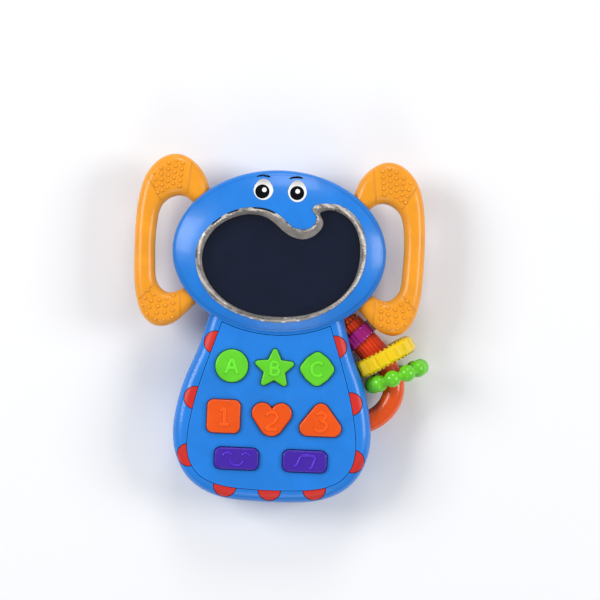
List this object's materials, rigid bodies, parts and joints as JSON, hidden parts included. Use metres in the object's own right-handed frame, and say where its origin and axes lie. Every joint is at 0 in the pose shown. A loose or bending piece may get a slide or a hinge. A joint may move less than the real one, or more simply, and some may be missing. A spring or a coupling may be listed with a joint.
{
  "type": "toy cell phone",
  "caption": "Baby phone with an animal face: round head with a window, keypad body, teether ears and a side bar with loose rings.",
  "frame": {"origin": "on the flat back, on the centre line, at half of the overall height", "axes": "+Z out of the face, +Y to the top of the head, +X to the right seen from the front; the toy lies on its back"},
  "size_m": [0.1236, 0.1418, 0.0331],
  "materials": {
    "blue_shell": "moulded gloss",
    "blue_panel": "moulded gloss",
    "red_accent": "moulded satin",
    "clear_lens": "clear gloss",
    "screen_card": "fine ribbed sheet",
    "white_tray": "matt",
    "board": "board",
    "lamp": "diffuse",
    "grey_rubber": "matt",
    "carbon": "matt",
    "epoxy": "gloss",
    "screw_steel": "zinc",
    "amber_ear": "soft gloss",
    "orange_bar": "gloss",
    "cell_jacket": "satin",
    "nickel": "plated",
    "speaker_paper": "matt",
    "magnet": "matt",
    "black_switch": "fine texture",
    "red_barrel": "gloss",
    "purple_plastic": "gloss",
    "yellow_plastic": "gloss",
    "green_beads": "gloss",
    "green_key": "gloss",
    "orange_key": "gloss",
    "purple_key": "gloss"
  },
  "bodies": {
    "shell": {"front_shell": "blue_shell", "rear_shell": "blue_shell", "keypad_panel": "blue_panel", "accent_ring": "red_accent", "screen_lens": "clear_lens", "lenticular_card": "screen_card", "light_tray": "white_tray", "lamp_board": "board", "lamps": "lamp", "rubber_mat": "grey_rubber", "keypad_board": "board", "contact_pads": "carbon", "chip_blob": "epoxy", "board_screws": "screw_steel", "case_screws": "screw_steel", "right_ear": "amber_ear", "left_ear": "amber_ear", "ring_holder": "orange_bar", "click_collar": "orange_bar", "battery_upper": "cell_jacket", "battery_lower": "cell_jacket", "contact_plates": "nickel", "contact_springs": "nickel", "speaker_basket": "screw_steel", "speaker_cone": "speaker_paper", "speaker_magnet": "magnet", "switch_body": "black_switch", "dome_a": "grey_rubber", "dome_b": "grey_rubber", "dome_c": "grey_rubber", "dome_1": "grey_rubber", "dome_2": "grey_rubber", "dome_3": "grey_rubber", "dome_smile": "grey_rubber", "dome_music": "grey_rubber"},
    "key_a": {"key_a": "green_key"},
    "key_b": {"key_b": "green_key"},
    "key_c": {"key_c": "green_key"},
    "key_1": {"key_1": "orange_key"},
    "key_2": {"key_2": "orange_key"},
    "key_3": {"key_3": "orange_key"},
    "key_smile": {"key_smile": "purple_key"},
    "key_music": {"key_music": "purple_key"},
    "barrel": {"click_barrel": "red_barrel"},
    "purple_ring": {"purple_ring": "purple_plastic"},
    "yellow_ring": {"yellow_ring": "yellow_plastic"},
    "green_ring": {"green_bead_ring": "green_beads"},
    "switch_knob": {"switch_knob": "black_switch"},
    "battery_door": {"battery_door": "blue_shell", "door_screw": "screw_steel"}
  },
  "joints": [
    {"name": "press_key_a", "type": "slide", "parent": "shell", "child": "key_a", "axis": [0, 0, -1], "range_m": [0, 0.0014], "stiffness_N_per_m": 700, "springref_m": -0.0008, "deforming": ["dome_a"]},
    {"name": "press_key_b", "type": "slide", "parent": "shell", "child": "key_b", "axis": [0, 0, -1], "range_m": [0, 0.0014], "stiffness_N_per_m": 700, "springref_m": -0.0008, "deforming": ["dome_b"]},
    {"name": "press_key_c", "type": "slide", "parent": "shell", "child": "key_c", "axis": [0, 0, -1], "range_m": [0, 0.0014], "stiffness_N_per_m": 700, "springref_m": -0.0008, "deforming": ["dome_c"]},
    {"name": "press_key_1", "type": "slide", "parent": "shell", "child": "key_1", "axis": [0, 0, -1], "range_m": [0, 0.0014], "stiffness_N_per_m": 700, "springref_m": -0.0008, "deforming": ["dome_1"]},
    {"name": "press_key_2", "type": "slide", "parent": "shell", "child": "key_2", "axis": [0, 0, -1], "range_m": [0, 0.0014], "stiffness_N_per_m": 700, "springref_m": -0.0008, "deforming": ["dome_2"]},
    {"name": "press_key_3", "type": "slide", "parent": "shell", "child": "key_3", "axis": [0, 0, -1], "range_m": [0, 0.0014], "stiffness_N_per_m": 700, "springref_m": -0.0008, "deforming": ["dome_3"]},
    {"name": "press_key_smile", "type": "slide", "parent": "shell", "child": "key_smile", "axis": [0, 0, -1], "range_m": [0, 0.0014], "stiffness_N_per_m": 700, "springref_m": -0.0008, "deforming": ["dome_smile"]},
    {"name": "press_key_music", "type": "slide", "parent": "shell", "child": "key_music", "axis": [0, 0, -1], "range_m": [0, 0.0014], "stiffness_N_per_m": 700, "springref_m": -0.0008, "deforming": ["dome_music"]},
    {"name": "twist_barrel", "type": "hinge", "parent": "shell", "child": "barrel", "pos_m": [0.03774, -0.00448, 0.013], "axis": [0.7022, -0.712, 0], "continuous": true},
    {"name": "spin_purple_ring", "type": "hinge", "parent": "shell", "child": "purple_ring", "pos_m": [0.03437, -0.00106, 0.013], "axis": [0.7022, -0.712, 0], "continuous": true},
    {"name": "spin_yellow_ring", "type": "hinge", "parent": "shell", "child": "yellow_ring", "pos_m": [0.0455, -0.0093, 0.01355], "axis": [0.515, -0.8572, 0], "continuous": true},
    {"name": "spin_green_ring", "type": "hinge", "parent": "shell", "child": "green_ring", "pos_m": [0.0507, -0.01705, 0.0143], "axis": [0.3907, -0.9205, 0], "continuous": true},
    {"name": "slide_power_switch", "type": "slide", "parent": "shell", "child": "switch_knob", "axis": [1, 0, 0], "range_m": [0, 0.004]},
    {"name": "lift_battery_door", "type": "slide", "parent": "shell", "child": "battery_door", "axis": [0, 0, -1], "range_m": [0, 0.012]}
  ]
}
